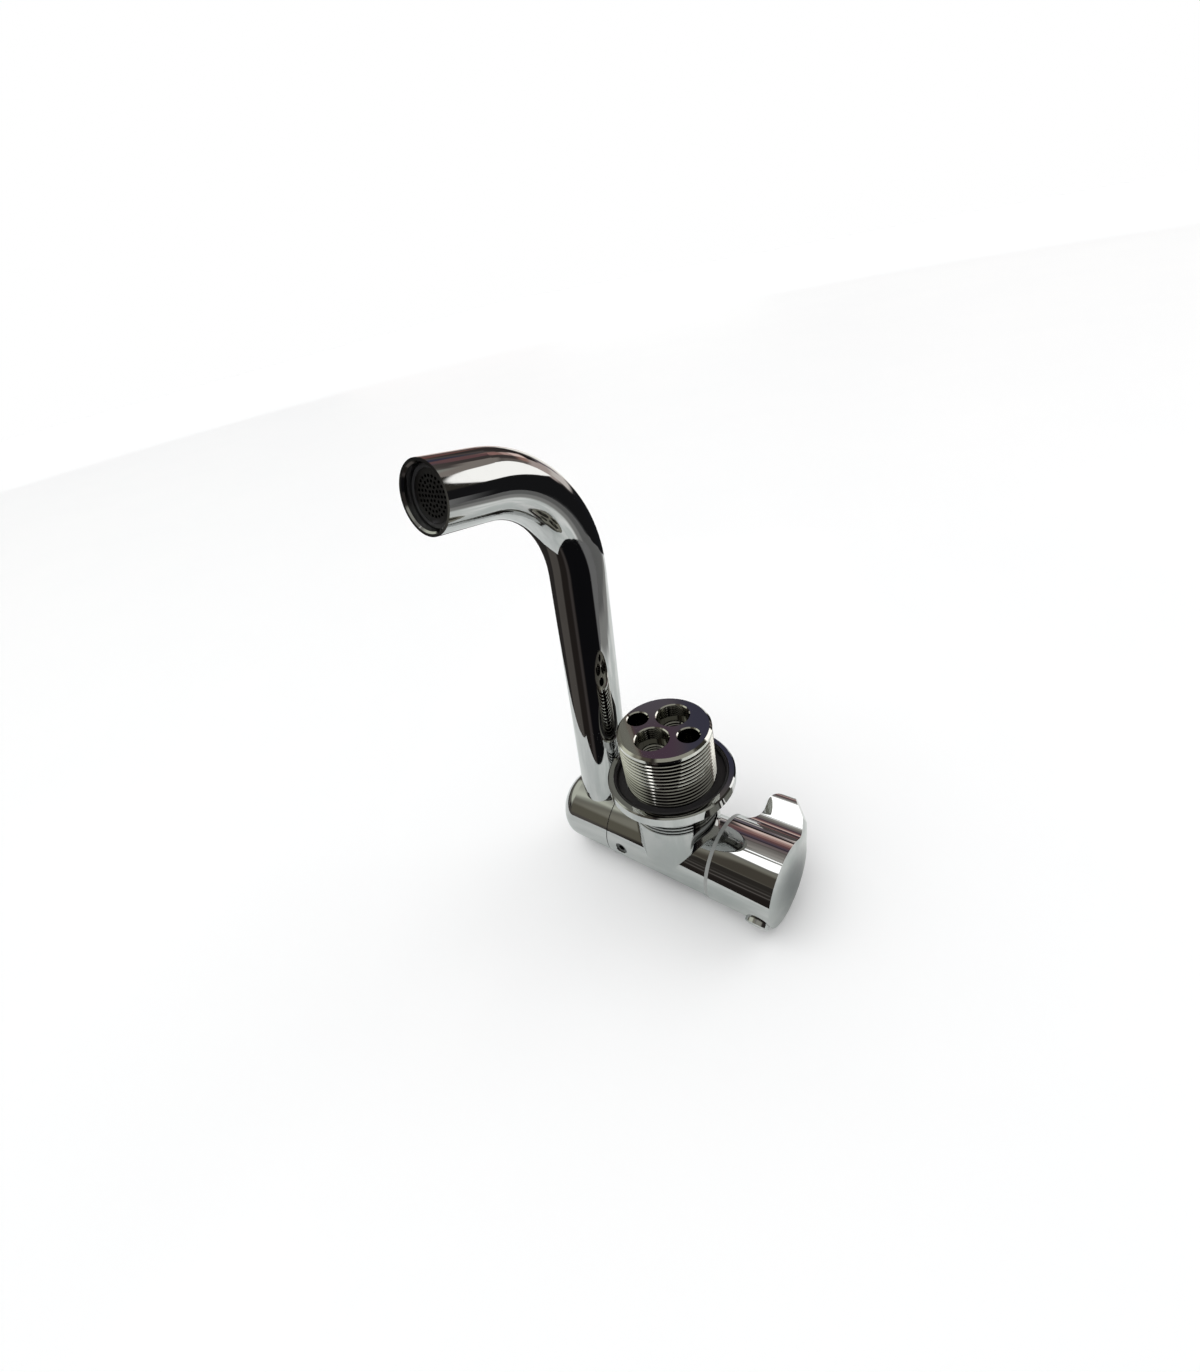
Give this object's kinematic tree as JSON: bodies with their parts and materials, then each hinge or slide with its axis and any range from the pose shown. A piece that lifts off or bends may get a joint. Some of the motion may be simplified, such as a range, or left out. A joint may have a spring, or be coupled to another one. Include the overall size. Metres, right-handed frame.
{
  "type": "basin mixer tap",
  "caption": "Single-lever basin mixer lying upside down: threaded shank with flange ring, short level barrel, side lever handle, and a bent tube spout that turns on the barrel's end.",
  "frame": {"origin": "on the threaded shank's axis, in the plane of the flange ring's sealing face", "axes": "+Z along the shank, away from the barrel, which is up in the picture and down when the tap is fitted; +X along the barrel towards the handle; the spout's mouth faces -Y"},
  "size_m": [0.0977, 0.0629, 0.1723],
  "materials": {
    "chrome": "polished chrome plate on brass",
    "brass": "turned, bare",
    "steel": "machined stainless steel",
    "black_rubber": "matt",
    "dark_plastic": "moulded, matt",
    "white_plastic": "moulded, matt",
    "grey_plastic": "satin",
    "ceramic": "ground flat"
  },
  "bodies": {
    "tap_body": {"body": "chrome", "escutcheon": "chrome", "escutcheon_seal": "black_rubber", "spout_slide_ring": "white_plastic", "spout_retaining_screw": "steel", "cartridge_base_seal": "black_rubber", "cartridge_base": "white_plastic", "cartridge_housing": "white_plastic", "fixed_disc": "ceramic", "cartridge_nut": "brass"},
    "spout": {"spout_hub": "chrome", "spout_tube": "chrome", "spout_oring_outer": "black_rubber", "spout_oring_inner": "black_rubber", "aerator_housing": "dark_plastic", "aerator_seal": "black_rubber", "aerator_screen": "steel"},
    "rotor": {"cartridge_rotor": "white_plastic", "spindle_pin": "steel"},
    "disc": {"moving_disc": "ceramic", "disc_carrier": "white_plastic"},
    "lever": {"cartridge_spindle": "brass", "handle": "chrome", "handle_set_screw": "steel", "handle_plug": "chrome", "skirt_ring": "grey_plastic"}
  },
  "joints": [
    {"name": "spout_swing", "type": "hinge", "parent": "tap_body", "child": "spout", "pos_m": [0, 0, -0.0378], "axis": [1, 0, 0], "continuous": true},
    {"name": "mix", "type": "hinge", "parent": "tap_body", "child": "rotor", "pos_m": [0, 0, -0.0378], "axis": [1, 0, 0], "range_deg": [-70, 10]},
    {"name": "flow_tilt", "type": "hinge", "parent": "rotor", "child": "lever", "pos_m": [0.019, 0, -0.0378], "axis": [0, -0.5, 0.866], "range_deg": [0, 10]},
    {"name": "disc_slide", "type": "slide", "parent": "rotor", "child": "disc", "axis": [0, -0.866, -0.5], "range_m": [0, 0.0012]}
  ],
  "couplings": [
    {"joint": "disc_slide", "follows": "flow_tilt", "m_per_rad": 0.0063}
  ]
}
